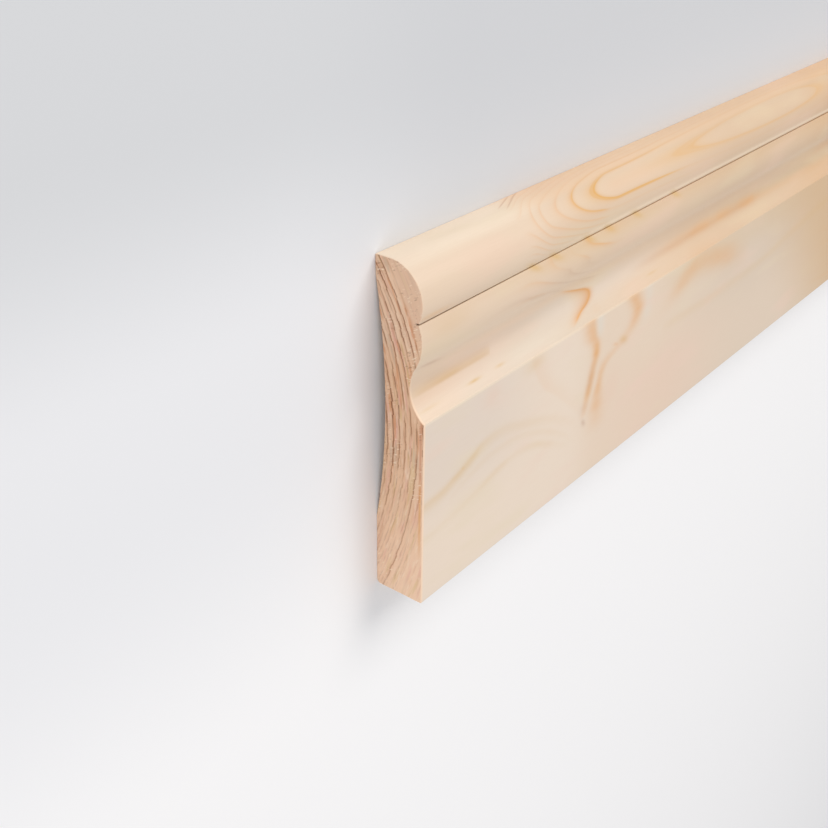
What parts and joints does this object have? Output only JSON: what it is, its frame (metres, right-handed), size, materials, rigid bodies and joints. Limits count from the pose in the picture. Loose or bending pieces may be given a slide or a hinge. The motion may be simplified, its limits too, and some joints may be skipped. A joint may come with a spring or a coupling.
{
  "type": "skirting board length",
  "caption": "Straight length of moulded softwood skirting with a round nose, a quirk, an ogee, a flat face and a shallow hollow back.",
  "frame": {"origin": "under the middle of the board, in the plane of its back", "axes": "+X along the length, away from the end that the picture shows; +Y towards the moulded top edge; +Z out of the moulded face"},
  "size_m": [2.4, 0.119, 0.019],
  "materials": {
    "pine": "planed and unfinished softwood with sawn ends"
  },
  "bodies": {
    "root": {"skirting_board": "pine"}
  },
  "joints": []
}
